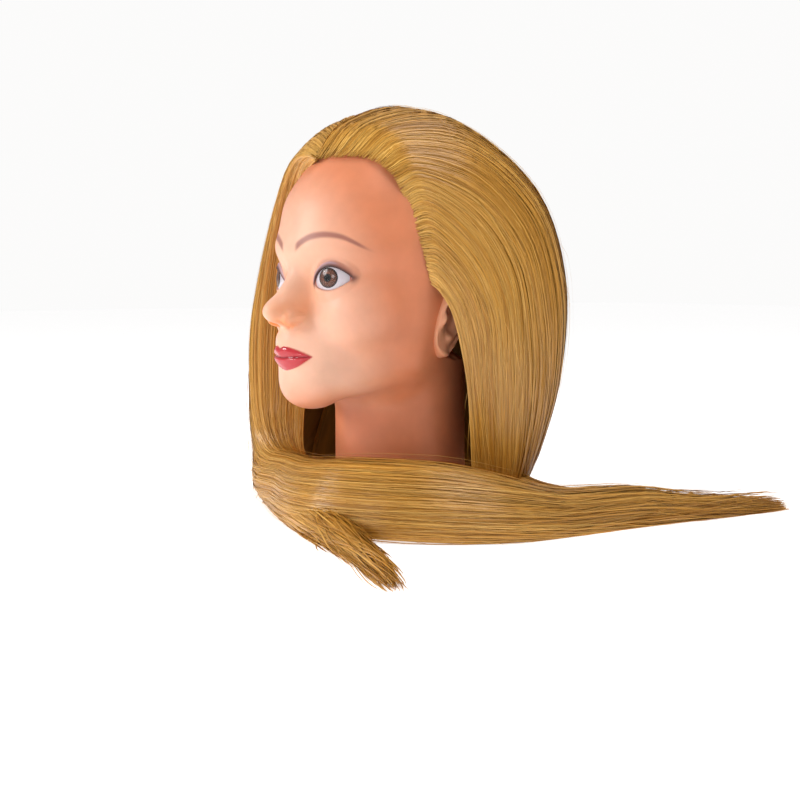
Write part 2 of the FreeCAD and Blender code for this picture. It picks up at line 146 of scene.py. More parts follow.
def smooth_step(low, high, value):
    """0 at low and 1 at high, eased at both ends; low may be above high."""
    share = np.clip((value - low) / (high - low), 0, 1)
    return share * share * (3 - 2 * share)


def bump(value, middle, width):
    """A smooth hump of height 1."""
    return np.exp(-(((value - middle) / width) ** 2))


def unit(vectors):
    return vectors / (np.linalg.norm(vectors, axis=-1, keepdims=True) + 1e-9)


def curve_through(points, count):
    """A smooth curve through control points, sampled evenly by point number."""
    points = np.asarray(points, dtype=float)
    ends = np.concatenate([[2 * points[0] - points[1]], points, [2 * points[-1] - points[-2]]])
    place = np.linspace(0, len(points) - 1, count)
    index = np.minimum(place.astype(int), len(points) - 2)
    share = (place - index).reshape((-1,) + (1,) * (points.ndim - 1))
    a, b, c, d = (ends[index + k] for k in range(4))
    return 0.5 * (
        2 * b
        + (c - a) * share
        + (2 * a - 5 * b + 4 * c - d) * share**2
        + (3 * b - a - 3 * c + d) * share**3
    )


# ---------------------------------------------------------------- materials

NOISE_LOW = 0.3  # nearly all of a noise's values lie between these two
NOISE_HIGH = 0.7


class Nodes:
    """Short calls for building a node material."""

    def __init__(self, name):
        self.material = bpy.data.materials.new(name)
        self.material.use_nodes = True
        self.tree = self.material.node_tree
        self.shader = self.tree.nodes["Principled BSDF"]

    def add(self, kind, **settings):
        node = self.tree.nodes.new(kind)
        for key, value in settings.items():
            setattr(node, key, value)
        return node

    def link(self, source, target):
        self.tree.links.new(source, target)

    def feed(self, source, socket):
        """Links a source to one of the shader's own sockets."""
        self.link(source, self.shader.inputs[socket])

    def set(self, **values):
        for key, value in values.items():
            self.shader.inputs[key.replace("_", " ")].default_value = value

    def attribute(self, name, output="Fac"):
        node = self.add("ShaderNodeAttribute", attribute_name=name)
        return node.outputs[output]

    def noise(self, scale, detail, stretch=None, uv=False):
        coordinates = self.add("ShaderNodeTexCoord")
        source = coordinates.outputs["UV" if uv else "Object"]
        if stretch:
            mapping = self.add("ShaderNodeMapping")
            mapping.inputs["Scale"].default_value = stretch
            self.link(source, mapping.inputs["Vector"])
            source = mapping.outputs["Vector"]
        node = self.add("ShaderNodeTexNoise")
        node.inputs["Scale"].default_value = scale
        node.inputs["Detail"].default_value = detail
        self.link(source, node.inputs["Vector"])
        return node.outputs["Fac"]

    def ramp(self, source, stops):
        node = self.add("ShaderNodeValToRGB")
        elements = node.color_ramp.elements
        while len(elements) < len(stops):
            elements.new(0.5)
        for element, (position, colour) in zip(elements, stops):
            element.position = position
            element.color = (*colour, 1)
        self.link(source, node.inputs["Fac"])
        return node.outputs["Color"]

    def between(self, noise, first, second):
        """A colour that wanders from one to another with a noise."""
        return self.ramp(noise, [(NOISE_LOW, first), (NOISE_HIGH, second)])

    def mix(self, first, second, factor, blend="MIX"):
        node = self.add("ShaderNodeMix", data_type="RGBA", blend_type=blend)
        # a mix node's factor and its two colours are these inputs
        for socket, value in ((0, factor), (6, first), (7, second)):
            if isinstance(value, tuple):
                node.inputs[socket].default_value = (*value, 1)
            elif isinstance(value, (int, float)):
                node.inputs[socket].default_value = value
            else:
                self.link(value, node.inputs[socket])
        return node.outputs[2]

    def multiply(self, first, second):
        return self.mix(first, second, 1.0, "MULTIPLY")

    def spread(self, source, low, high, from_low=NOISE_LOW, from_high=NOISE_HIGH):
        """Carries a range of values, a noise's unless it is given, over to another range."""
        node = self.add("ShaderNodeMapRange")
        for key, value in (
            ("From Min", from_low),
            ("From Max", from_high),
            ("To Min", low),
            ("To Max", high),
        ):
            node.inputs[key].default_value = value
        self.link(source, node.inputs["Value"])
        return node.outputs["Result"]

    def bump(self, source, distance):
        node = self.add("ShaderNodeBump")
        node.inputs["Distance"].default_value = distance
        node.inputs["Strength"].default_value = 1.0
        self.link(source, node.inputs["Height"])
        self.feed(node.outputs["Normal"], "Normal")


def skin_material():
    """Soft vinyl: painted colours from the mesh, a faint mottle and a satin, slightly waxy face."""
    n = Nodes("skin_vinyl")
    mottle = n.spread(n.noise(60, 4), 0.94, 1.05)
    n.feed(n.multiply(n.attribute("paint", "Color"), mottle), "Base Color")
    grain = n.spread(n.noise(900, 2), -0.04, 0.05)
    total = n.add("ShaderNodeMath", operation="ADD")
    n.link(grain, total.inputs[0])
    n.link(n.attribute("rough"), total.inputs[1])
    n.feed(total.outputs[0], "Roughness")
    n.set(Subsurface_Weight=0.22, Subsurface_Scale=0.006, Specular_IOR_Level=0.42)
    n.set(Subsurface_Radius=(1.0, 0.42, 0.22))
    n.bump(n.noise(1500, 2), 0.00004)
    return n.material


def hair_material(name, light=1.0):
    """Glossy blonde fibre: each strand has its own tone, streaked along its length."""
    n = Nodes(name)
    # a light below 1 gives a darker copy: painted shade for the sheets under the strands
    dark = (0.25 * light, 0.092 * light, 0.009 * light)
    middle = (0.54 * light, 0.243 * light, 0.026 * light)
    pale = (0.84 * light, 0.49 * light, 0.115 * light)
    base = n.ramp(n.attribute("tone"), [(0.0, dark), (0.5, middle), (1.0, pale)])
    streak = n.noise(1.0, 2, stretch=(2.0, 14.0, 1.0), uv=True)
    colour = n.multiply(base, n.spread(streak, 0.8, 1.2))
    n.feed(n.multiply(colour, n.attribute("shade")), "Base Color")
    n.set(Roughness=0.36, Specular_IOR_Level=0.55, Anisotropic=0.6)
    tangent = n.add("ShaderNodeTangent", direction_type="UV_MAP", uv_map="UVMap")
    n.feed(tangent.outputs[0], "Tangent")
    return n.material


def plastic_material(name, colour, roughness):
    """Moulded plastic with a faint cloud in its colour and gloss."""
    n = Nodes(name)
    darker = tuple(0.85 * c for c in colour)
    paler = tuple(1.15 * c for c in colour)
    n.feed(n.between(n.noise(220, 4), darker, paler), "Base Color")
    n.feed(n.spread(n.noise(500, 3), roughness - 0.06, roughness + 0.06), "Roughness")
    n.bump(n.noise(2400, 2), 0.00003)
    return n.material


# ---------------------------------------------------------------- head shape

CENTRE = np.array([0.0, -12.0, 150.0])  # every part of the head can be seen from here


def egg_field(points, middle, radii):
    """Rough distance to an ellipsoid, negative inside."""
    offset = (points - np.array(middle)) / np.array(radii)
    near = np.linalg.norm(offset, axis=-1)
    slope = np.linalg.norm(offset / np.array(radii), axis=-1) + 1e-9
    return near * (near - 1) / slope


def rod_field(points, start, end, start_radius, end_radius):
    """Distance to a rod with round ends that tapers from one radius to another."""
    start, end = np.array(start), np.array(end)
    run = end - start
    share = np.clip(((points - start) @ run) / (run @ run), 0, 1)
    nearest = start + share[..., None] * run
    radius = start_radius + (end_radius - start_radius) * share
    return np.linalg.norm(points - nearest, axis=-1) - radius


def neck_field(points, radius, flare, flare_height, top):
    """Distance to an upright neck that widens by a flare towards the table."""
    height = points[..., 2]
    radial = np.hypot(points[..., 0], points[..., 1])
    neck = radial - (radius + flare * smooth_step(flare_height, 0, height))
    return np.maximum(neck, height - top)


def merge(first, second, softness):
    share = np.clip(0.5 + 0.5 * (second - first) / softness, 0, 1)
    return second + (first - second) * share - softness * share * (1 - share)


# The head's masses, in the order that they are merged onto the skull. An egg has its middle and
# radii, a rod its ends and their radii; the last number is how softly the mass joins the others.
# A mass beside the middle plane stands for both sides.
SKULL = ((0, 2, 203), (71.5, 87, 83))
HEAD_MASSES = {
    "forehead": (egg_field, ((0, -37, 212), (57, 52, 36)), 12),
    "brow": (egg_field, ((0, -41, 189), (63.5, 53.5, 30)), 12),
    "face": (egg_field, ((0, -25, 151), (63, 60, 67)), 16),
    "cheeks": (egg_field, ((35, -57, 145), (25, 26, 27)), 14),
    "jaw": (rod_field, ((16, -76, 97), (42, -27, 111), 14, 15), 18),
    "chin": (egg_field, ((0, -78, 93.5), (20, 18.5, 16)), 12),
    "mouth": (egg_field, ((0, -73, 119), (31, 25.5, 27)), 12),
    "above_lip": (egg_field, ((0, -79, 126), (20, 22.5, 14)), 8),
    "neck": (neck_field, (48.0, 2.5, 40, 112), 14),
    "nose_bridge": (rod_field, ((0, -77, 184), (0, -101, 152), 5.0, 6.8), 10),
    "nose_sides": (rod_field, ((0, -79, 167), (0, -91, 146), 8, 11.5), 9),
    "nose_tip": (egg_field, ((0, -105.6, 146.6), (8.6, 9.0, 7.6)), 6),
    "nose_wings": (egg_field, ((9.6, -98.8, 141.8), (5.4, 7.4, 5.9)), 2.6),
}
NOSTRIL = ((6.4, -103.0, 137.0), (3.0, 5.2, 2.6))
NOSTRIL_SOFTNESS = 1.6


def head_field(points):
    """The bare head as one smooth solid, negative inside, with its nostrils cut out."""
    even = points.copy()
    even[..., 0] = np.abs(even[..., 0])
    field = egg_field(even, *SKULL)
    for shape, sizes, softness in HEAD_MASSES.values():
        field = merge(field, shape(even, *sizes), softness)
    return -merge(-field, egg_field(even, *NOSTRIL), NOSTRIL_SOFTNESS)


def way_out(start, directions, low, high, halvings):
    """How far each ray goes in the head, as the last distance inside and the first outside."""
    low = np.full(directions.shape[:-1], low)
    high = np.full(directions.shape[:-1], high)
    for _ in range(halvings):
        middle = (low + high) / 2
        inside = head_field(start + directions * middle[..., None]) < 0
        low = np.where(inside, middle, low)
        high = np.where(inside, high, middle)
    return low, high


def graded(low, high, count, middle, width, gain):
    """Values from low to high that lie closer together round the middle."""
    fine = np.linspace(low, high, 4000)
    density = 1 + gain * np.exp(-(((fine - middle) / width) ** 4))
    total = np.concatenate([[0], np.cumsum((density[1:] + density[:-1]) / 2)])
    return np.interp(np.linspace(0, total[-1], count), total, fine)


EYE_RADIUS = 20.0
EYE_TURN = radians(22)
EYE_SPACING = 69.0
EYE_HEIGHT = 169.0
EYE_FRONT = -84.6
# corners of the eye's slit, level with the pupil and outward from it
INNER_CORNER = -14.6
OUTER_CORNER = 16.8
CORNER_HEIGHT = -4.0  # the inner corner, above the pupil
CORNER_RISE = 4.4  # from the inner corner up to the outer one
UPPER_ARCH = 10.2
LOWER_ARCH = 5.6
SOCKET_DEPTH = 4.0
LID_WALL = 1.5
LID_SOFTNESS = 5.0
LID_CREASE = 1.1


def eye_frame(side):
    """Centre of an eye, the way it faces and the level direction towards its outer corner."""
    gaze = np.array([side * sin(EYE_TURN), -cos(EYE_TURN), 0.0])
    outward = np.array([side * cos(EYE_TURN), sin(EYE_TURN), 0.0])
    pupil = np.array([side * EYE_SPACING / 2, EYE_FRONT, EYE_HEIGHT])
    return pupil - gaze * EYE_RADIUS, gaze, outward


def lid_edges(level):
    """Heights of the upper and lower lid edges above the pupil."""
    share = np.clip((level - INNER_CORNER) / (OUTER_CORNER - INNER_CORNER), 0.0005, 0.9995)
    chord = CORNER_HEIGHT + CORNER_RISE * share
    # the inner powers move each arch's top to one side, and the outer ones make it fuller
    upper = chord + UPPER_ARCH * np.sin(pi * share**0.86) ** 0.82
    lower = chord - LOWER_ARCH * np.sin(pi * share**1.12) ** 0.85
    return upper, lower


def shape_eye(points, side):
    """Sinks the socket, swells the lids over the eye and opens the slit between them."""
    middle, gaze, outward = eye_frame(side)
    offset = points - middle
    level = offset @ outward
    height = offset[:, 2]
    reach = offset @ gaze
    near = (reach > 0) & (np.abs(level) < 34) & (np.abs(height) < 30)
    skin = reach - SOCKET_DEPTH * bump(level, 0.5, 19) * bump(height, 3.5, 13)
    over = np.maximum((EYE_RADIUS + LID_WALL) ** 2 - level**2 - (height - 0.5) ** 2, 0)
    lid = np.where(over > 0, np.sqrt(over), -50)
    upper, lower = lid_edges(level)
    ends = smooth_step(-15, -8, level) * smooth_step(17, 9, level)
    crease = LID_CREASE * bump(height - upper, 4.6, 1.3) * ends
    share = np.clip(0.5 + 0.5 * (lid - skin) / LID_SOFTNESS, 0, 1)
    raised = skin + (lid - skin) * share + LID_SOFTNESS * share * (1 - share) - crease
    inside = np.minimum(upper - height, height - lower)
    along = np.minimum(level - INNER_CORNER, OUTER_CORNER - level)
    inside = np.minimum(inside, along * 0.8)
    slit_depth = 1.0 + 4.5 * smooth_step(0.5, 6, along)
    new_reach = raised - slit_depth * smooth_step(-0.25, 0.75, inside)
    blend = smooth_step(34, 24, np.abs(level)) * smooth_step(30, 20, np.abs(height))
    change = np.where(near, (new_reach - reach) * blend, 0)
    points = points + change[:, None] * gaze
    above_rim = np.where(near, height - upper, 99)
    below_rim = np.where(near, lower - height, 99)
    gap = np.where(near, inside, -99)
    return points, above_rim, below_rim, gap, level


MOUTH_HEIGHT = 114.8
MOUTH_HALF = 24.0
UPPER_LIP = 8.4  # heights of the lips at the middle
LOWER_LIP = 9.0
UPPER_SWELL = 2.4
LOWER_SWELL = 3.0
SEAM_GROOVE = 0.5


def lip_shape(points):
    """Swell of the lips along -Y, how red each point is and how much painted shade darkens its seam.
    """
    side = points[:, 0]
    height = points[:, 2]
    share = np.clip(np.abs(side) / MOUTH_HALF, 0, 1)
    line = MOUTH_HEIGHT + 0.9 * share**2 - 0.5 * bump(side, 0, 5)
    notch = 1 - 0.16 * bump(side, 0, 2.8)
    top = line + UPPER_LIP * (1 - share**2.0) * notch + 0.05
    bottom = line - LOWER_LIP * (1 - share**2.3) - 0.05
    above = (height - line) / np.maximum(top - line, 0.6)
    below = (line - height) / np.maximum(line - bottom, 0.6)
    fade = smooth_step(1.02, 0.75, share)
    upper = UPPER_SWELL * np.sin(pi * np.clip(0.14 + 0.86 * above, 0, 1)) ** 0.75
    upper = upper * (1 + 0.25 * bump(side, 0, 4))
    lower = LOWER_SWELL * np.sin(pi * np.clip(0.16 + 0.84 * below, 0, 1) ** 0.85) ** 0.75
    groove = SEAM_GROOVE * bump(height, line, 0.8)
    front = points[:, 1] < -60
    swell = (np.where(above > 0, upper, lower) - groove) * fade * front
    edge = np.minimum(top - height, height - bottom)
    edge = np.minimum(edge, (MOUTH_HALF * 0.99 - np.abs(side)) * 0.6)
    red = smooth_step(-0.15, 0.45, edge) * front
    seam = bump(height, line, 0.55) * smooth_step(1.0, 0.9, share) * front
    return swell, red, seam


# points along the middle of a brow and of the hairline, on the head's left side
BROW_LINE = [(8, 190.8), (15, 195.0), (23, 198.2), (33, 199.2), (43, 197.6), (51, 193.4), (59, 187.0)]
HAIRLINE = [
    (0, -72, 253), (24, -65, 254), (41, -53, 250), (57, -44, 237),
    (58, -38, 223), (67, -36, 199), (68, -27, 186), (66, -20, 166),
    (70, 8, 150), (66, 30, 124), (40, 62, 104), (0, 74, 96),
]


def brow_paint(points):
    """Darkness of the painted brow: soft at its inner end, thin at its tail."""
    side = np.abs(points[:, 0])
    reach, heights = curve_through(BROW_LINE, 60).T
    middle = np.interp(side, reach, heights)
    share = np.clip((side - reach[0]) / (reach[-1] - reach[0]), 0, 1)
    half = 0.9 + 2.4 * (1 - share) ** 0.8
    inside = smooth_step(1.35, 0.35, np.abs(points[:, 2] - middle) / half)
    ends = smooth_step(reach[0] - 1.5, reach[0] + 3, side) * smooth_step(59.5, 52, side)
    return inside * ends * (points[:, 1] < -40)


def above_hairline(points):
    """How far each point is above the hairline, as an angle seen from the head's centre."""
    offset = points - CENTRE
    angle = np.arctan2(np.abs(offset[..., 0]), -offset[..., 1])
    rise = np.arctan2(offset[..., 2], np.hypot(offset[..., 0], offset[..., 1]))
    line = np.array(HAIRLINE) - CENTRE
    line_angle = np.arctan2(line[:, 0], -line[:, 1])
    line_rise = np.arctan2(line[:, 2], np.hypot(line[:, 0], line[:, 1]))
    order = np.argsort(line_angle)
    return rise - np.interp(angle, line_angle[order], line_rise[order])


SKIN = (0.81, 0.465, 0.325)
SHADED_SKIN = (0.64, 0.185, 0.068)  # painted shade: deeper orange away from the face and down the neck
NECK_FOOT = (0.80, 0.34, 0.24)
BLUSH = (0.80, 0.36, 0.25)
NOSE_SIDE_SHADE = (0.80, 0.31, 0.13)
BRIDGE_SIDE_SHADE = (0.78, 0.34, 0.17)
PAINTED_NOSTRIL_GLOW = (0.90, 0.26, 0.05)
LIP_RED = (0.50, 0.035, 0.045)
SEAM_SHADE_RED = (0.16, 0.008, 0.012)
BROW_BROWN = (0.29, 0.10, 0.075)
UPPER_LID_SHADE = (0.34, 0.12, 0.10)
LID_RIM_HIGHLIGHT = (0.52, 0.44, 0.58)
LINER_BROWN = (0.15, 0.042, 0.028)
LINER_BLACK = (0.035, 0.012, 0.014)
LOWER_RIM = (0.36, 0.12, 0.09)
SLIT_WALL_SHADE = (0.42, 0.13, 0.09)
SKIN_ROUGHNESS = 0.46
LIP_ROUGHNESS = 0.11


def paint_head(points, rims):
    """Vinyl colour with blush, lips, brows and liner, painted shade, a painted glow and a painted
    highlight, and how rough each point is.
    """
    side = np.abs(points[:, 0])
    height = points[:, 2]
    colours = np.tile(SKIN, (len(points), 1))

    def lay(colour, amount):
        colours[:] += (np.array(colour) - colours) * np.clip(amount, 0, 1)[:, None]

    front = points[:, 1] < -35
    under_nose = points[:, 1] < -97
    lay(BLUSH, 0.30 * bump(side, 44, 17) * bump(height, 138, 18) * front)
    # painted shade: deeper orange down the sides of the nose and of its bridge
    lay(NOSE_SIDE_SHADE, 0.7 * bump(side, 11, 8) * bump(height, 147, 12) * front)
    lay(BRIDGE_SIDE_SHADE, 0.5 * bump(side, 13, 6) * bump(height, 163, 12) * front)
    # painted light: an orange glow round the nostrils, as of light through the vinyl
    lay(PAINTED_NOSTRIL_GLOW, 0.95 * bump(side, 8.0, 5.0) * bump(height, 138.2, 2.9) * under_nose)
    # painted shade: the sides away from the face and the neck below the jaw turn deeper orange
    back = smooth_step(-94, -40, points[:, 1] + 0.25 * (height - 150))
    lay(SHADED_SKIN, 0.88 * np.maximum(back, smooth_step(104, 70, height)))
    lay(NECK_FOOT, 0.5 * smooth_step(12, 0, height))
    _, red, seam = lip_shape(points)
    lay(LIP_RED, red)
    # painted shade along the seam between the lips
    lay(SEAM_SHADE_RED, 0.65 * seam)
    lay(BROW_BROWN, 0.88 * brow_paint(points))
    for above_rim, below_rim, gap, level in rims:
        fade = smooth_step(-17.5, -13.5, level) * smooth_step(21, 15, level)
        # painted shade on the upper lid, above its edge
        lay(UPPER_LID_SHADE, 0.75 * bump(above_rim, 1.6, 3.2) * fade)
        # painted highlight: a lilac glint along the upper lid's rim, fading out towards the outer
        # corner
        lay(LID_RIM_HIGHLIGHT, 0.6 * bump(above_rim, 2.9, 0.8) * fade * smooth_step(10, 2, level))
        lay(LINER_BROWN, 0.9 * bump(above_rim, -0.4, 2.6) * fade)
        lay(LINER_BLACK, 0.95 * bump(above_rim, 0.5, 1.3) * fade)
        lay(LOWER_RIM, 0.5 * bump(below_rim, 0.2, 0.9) * fade)
        # painted shade on the lid walls inside the slit
        lay(SLIT_WALL_SHADE, 0.8 * smooth_step(0.2, 1.2, gap))
    rough = SKIN_ROUGHNESS + (LIP_ROUGHNESS - SKIN_ROUGHNESS) * red
    return colours, rough


def build_head():
    """The face, neck and scalp from one net of rays, dense over the face."""
    azimuth = np.radians(graded(-180, 180, 301, 0, 46, 5.0))[:-1]
    rise = np.radians(graded(-88, 88, 318, -4, 42, 3.2))
    rise_grid, azimuth_grid = np.meshgrid(rise, azimuth, indexing="ij")
    level = np.cos(rise_grid)
    directions = [level * np.sin(azimuth_grid), -level * np.cos(azimuth_grid), np.sin(rise_grid)]
    directions = np.stack(directions, axis=-1)
    inside, outside = way_out(CENTRE, directions, 10.0, 190.0, 22)
    points = (CENTRE + directions * ((inside + outside) / 2)[..., None]).reshape(-1, 3)
    # rays that would leave below the table stop on it
    shrink = CENTRE[2] / np.maximum(CENTRE[2] - points[:, 2], 1)
    stopped = CENTRE + (points - CENTRE) * shrink[:, None]
    points = np.where(points[:, 2:] < 0, stopped, points)
    swell, _, _ = lip_shape(points)
    points[:, 1] -= swell
    rims = []
    for side in (1, -1):
        points, *rim = shape_eye(points, side)
        rims.append(rim)
    colours, rough = paint_head(points, rims)
    faces = grid_faces(len(rise), len(azimuth), closed=True)
    middles = points[faces].mean(axis=1)
    scalp = above_hairline(middles) > 0
    # the base plate shows in the neck's open end
    open_end = (middles[:, 2] < 0.2) & (np.hypot(middles[:, 0], middles[:, 1]) < 47.6)
    return points, colours, rough, faces, scalp, open_end


def part_of_head(name, points, colours, rough, faces):
    """One piece cut from the head's net, with only the vertices that it uses."""
    used, inverse = np.unique(faces, return_inverse=True)
    item = new_mesh_object(name, points[used], inverse.reshape(faces.shape))
    set_colour(item, "paint", colours[used])
    set_number(item, "rough", rough[used])
    return item


EAR_HALF_HEIGHT = 31.0
EAR_HALF_WIDTH = 17.0
EAR_HEIGHT = 144.5
EAR_BACK = 4.5  # middle of the ear behind the neck's axis
EAR_LEAN = 6.0  # how far its top leans back
EAR_SKIN = (0.79, 0.35, 0.19)
EAR_HOLLOW_SHADE = (0.50, 0.17, 0.09)
EAR_ROUGHNESS = 0.44


def ear_surface(side):
    """One ear as a sheet over its own outline: rim, inner fold, bowl, tragus and lobe."""
    rows, columns = 90, 64
    high_share = np.linspace(-1.12, 1.12, rows)
    back_share = np.linspace(-1.15, 1.15, columns)
    height, back = np.meshgrid(high_share, back_share, indexing="ij")
    # the outline is wide above and narrows to the lobe
    narrowing = 1 - 0.10 * smooth_step(0.1, -1.0, height)
    across = (back + 0.06 * (height < 0) * height) / narrowing
    radius = np.hypot(across, height * 0.98)
    body = smooth_step(1.06, 0.93, radius)
    rim = bump(radius, 0.86, 0.085) * smooth_step(-0.75, -0.35, height + 0.8 * across)
    fold_radius = np.hypot(across - 0.06, (height - 0.05) * 0.95)
    fold = bump(fold_radius, 0.56, 0.10) * smooth_step(-0.35, 0.1, across + 0.35 * height + 0.2)
    bowl = np.exp(-(((across + 0.16) / 0.36) ** 2 + ((height + 0.06) / 0.36) ** 2) ** 1.6)
    tragus = bump(across, -0.70, 0.17) * bump(height, -0.12, 0.17)
    lobe = bump(across, -0.05, 0.42) * bump(height, -0.80, 0.25)
    stand = 3.0 + 4.5 * smooth_step(-0.9, 0.8, across)
    lift = body * stand + 3.4 * rim + 2.4 * fold - 4.6 * bowl + 4.2 * tragus + 2.0 * lobe
    lift = lift * body - 5.0 * (1 - body)
    y = EAR_BACK + across * EAR_HALF_WIDTH * 0.92 + height * EAR_LEAN
    z = EAR_HEIGHT + height * EAR_HALF_HEIGHT
    # the ear stands on the head's side, found along +X
    start = np.stack([np.zeros(y.shape), y, z], axis=-1)
    outward = np.broadcast_to(np.array([1.0, 0.0, 0.0]), start.shape)
    inside, _ = way_out(start, outward, 30.0, 90.0, 18)
    points = np.stack([side * (inside + lift), y, z], axis=-1).reshape(-1, 3)
    faces = grid_faces(rows, columns)
    if side > 0:
        faces = faces[:, ::-1]
    colours = np.tile(EAR_SKIN, (len(points), 1))
    # painted shade, darker in the ear's bowl and in the groove inside its rim
    hollow_shade = np.clip(bowl + 0.4 * bump(radius, 0.72, 0.06), 0, 1).reshape(-1, 1)
    colours += (np.array(EAR_HOLLOW_SHADE) - colours) * hollow_shade * 0.55
    return points, faces, colours


FOAM_COLOUR = (0.80, 0.74, 0.58)
FOAM_SHARE = 0.93  # size of the foam against the head's net


def add_head():
    """The skin, the scalp, the foam inside them and the ears."""
    vinyl = skin_material()
    points, colours, rough, faces, scalp, open_end = build_head()
    face = part_of_head("face_and_neck", points, colours, rough, faces[~scalp & ~open_end])
    add_piece(face, vinyl, "skin_vinyl", "face_and_neck_skin")
    cap = part_of_head("rooted_scalp", points, colours, rough, faces[scalp])
    add_piece(cap, vinyl, "scalp_vinyl", "scalp_cap")
    inner = CENTRE + (points - CENTRE) * FOAM_SHARE
    foam = part_of_head("foam_filling", inner, colours, rough, faces[~open_end])
    add_piece(foam, plastic_material("foam", FOAM_COLOUR, 0.85), "foam", "foam_core")
    for side, name in ((1, "left_ear"), (-1, "right_ear")):
        ear_points, ear_faces, ear_colours = ear_surface(side)
        ear = new_mesh_object(name, ear_points, ear_faces)
        set_colour(ear, "paint", ear_colours)
        set_number(ear, "rough", np.full(len(ear_points), EAR_ROUGHNESS))
        add_piece(ear, vinyl, "skin_vinyl")


add_head()


# ---------------------------------------------------------------- eyes

IRIS_WIDE = 7.8  # half sizes of the iris, and how far it sits above the pupil's level
IRIS_HIGH = 6.9
IRIS_RISE = 0.9
LENS_HALF = 8.8


def eye_white_material():
    """Glossy white acrylic, faintly clouded."""
    n = Nodes("eye_white_acrylic")
    colour = n.between(n.noise(160, 4), (0.55, 0.48, 0.52), (0.64, 0.57, 0.61))
    n.feed(colour, "Base Color")
    n.set(Roughness=0.12, Subsurface_Weight=0.1, Subsurface_Scale=0.002, Coat_Weight=0.6)
    return n.material


def iris_material():
    """Printed iris: fine spokes, a dark ring at its edge and a black pupil."""
    n = Nodes("iris_print")
    ring = n.attribute("ring")
    spokes = n.noise(1.0, 4, stretch=(44, 3.0, 1), uv=True)
    brown = n.ramp(spokes, [(0.32, (0.030, 0.010, 0.005)), (0.68, (0.20, 0.062, 0.028))])
    rust = (0.07, 0.022, 0.014)
    outer = n.spread(ring, 0.0, 0.6, from_low=0.55, from_high=0.95)
    edge = n.ramp(ring, [(0.80, (1, 1, 1)), (0.97, (0.05, 0.04, 0.05))])
    pupil = n.ramp(ring, [(0.36, (0, 0, 0)), (0.43, (1, 1, 1))])
    colour = n.multiply(n.multiply(n.mix(brown, rust, outer), edge), pupil)
    n.feed(colour, "Base Color")
    n.set(Roughness=0.3, Specular_IOR_Level=0.1, Coat_Weight=0.4, Coat_Roughness=0.03)
    return n.material


def lens_material():
    """Clear acrylic over the iris, faintly uneven, as moulded."""
    n = Nodes("lens_acrylic")
    n.set(Roughness=0.02, Alpha=0.02)
    n.feed(n.between(n.noise(90, 2), (0.96, 0.97, 1.0), (1.0, 1.0, 1.0)), "Base Color")
    return n.material


def eye_piece(name, side, depth, level, rise):
    """A round piece of an eye, from how far forward, outward and up its points lie."""
    middle, gaze, outward = eye_frame(side)
    points = middle + depth[..., None] * gaze + level[..., None] * outward + rise[..., None] * UP
    faces = grid_faces(*points.shape[:2], closed=True)
    return new_mesh_object(name, points.reshape(-1, 3), faces[:, ::-1] if side > 0 else faces)


ROUND_EYE = np.linspace(0, 2 * pi, 72, endpoint=False)[None, :]


def dome(name, side, radius, to_angle, rows, lift=0.0):
    """Part of a sphere round the way an eye faces, lifted at its middle."""
    from_angle = 0.01
    angle = np.linspace(from_angle, to_angle, rows)[:, None]
    swell = radius + lift * smooth_step(to_angle, from_angle, angle)
    level = swell * np.sin(angle) * np.cos(ROUND_EYE)
    rise = swell * np.sin(angle) * np.sin(ROUND_EYE)
    return eye_piece(name, side, swell * np.cos(angle), level, rise)


def iris_disc(name, side):
    """The iris, wider than high, printed on the front of the eye's white."""
    reach = np.linspace(0.0, 1.0, 26)[:, None]
    level = reach * IRIS_WIDE * np.cos(ROUND_EYE)
    rise = reach * IRIS_HIGH * np.sin(ROUND_EYE) + IRIS_RISE
    depth = np.sqrt((EYE_RADIUS + 0.08) ** 2 - level**2 - rise**2)
    disc = eye_piece(name, side, depth, level, rise)
    ring = np.repeat(reach[:, 0], ROUND_EYE.size)
    set_number(disc, "ring", ring)
    set_uv(disc, np.tile(ROUND_EYE[0] / (2 * pi), reach.size), ring)
    return disc


def add_eyes():
    white, iris, lens = eye_white_material(), iris_material(), lens_material()
    lens_angle = np.arcsin(LENS_HALF / EYE_RADIUS)
    for side, eye in ((1, "left_eye"), (-1, "right_eye")):
        ball = dome(eye + "ball_white", side, EYE_RADIUS, radians(88), 50)
        add_piece(ball, white, "eye_white_acrylic", eye + "_white")
        add_piece(iris_disc(eye + "ball_iris", side), iris, "iris_print", eye + "_iris")
        front = dome(eye + "ball_lens", side, EYE_RADIUS + 0.2, lens_angle, 20, lift=0.4)
        add_piece(front, lens, "lens_acrylic", eye + "_lens")


add_eyes()


# ---------------------------------------------------------------- hair guides

# Each guide is a curve down a sheet of hair, from its roots to its end, and the guides of a
# sheet stand side by side.
LEFT_GUIDES = [
    [(66, -21, 166), (72, -17, 160), (77, -10, 146), (79, -4, 124),
     (78, 3, 96), (76, 8, 65), (73, 13, 38), (68, 18, 12)],
    [(68, -30, 190), (76, -20, 188), (86, -4, 165), (91, 6, 135),
     (90, 10, 100), (85, 16, 65), (80, 22, 38), (72, 28, 12)],
    [(61, -39, 220), (71, -26, 225), (87, 2, 199), (97, 20, 160),
     (98, 26, 115), (92, 32, 72), (85, 36, 38), (74, 40, 12)],
    [(57, -46, 239), (65, -28, 246), (83, 10, 230), (95, 40, 190),
     (97, 53, 135), (93, 56, 82), (84, 54, 42), (72, 52, 12)],
    [(41, -54, 251), (49, -32, 267), (66, 14, 262), (86, 57, 220),
     (91, 77, 160), (86, 80, 98), (76, 73, 50), (66, 62, 12)],
    [(22, -66, 254), (29, -40, 278), (42, 14, 283), (64, 72, 238),
     (71, 97, 175), (69, 96, 105), (63, 83, 50), (56, 68, 12)],
    [(-1, -73, 253), (-3, -47, 280.5), (-2, 9, 293.5), (20, 77, 258),
     (37, 112, 190), (40, 116, 115), (42, 98, 55), (46, 76, 12)],
]
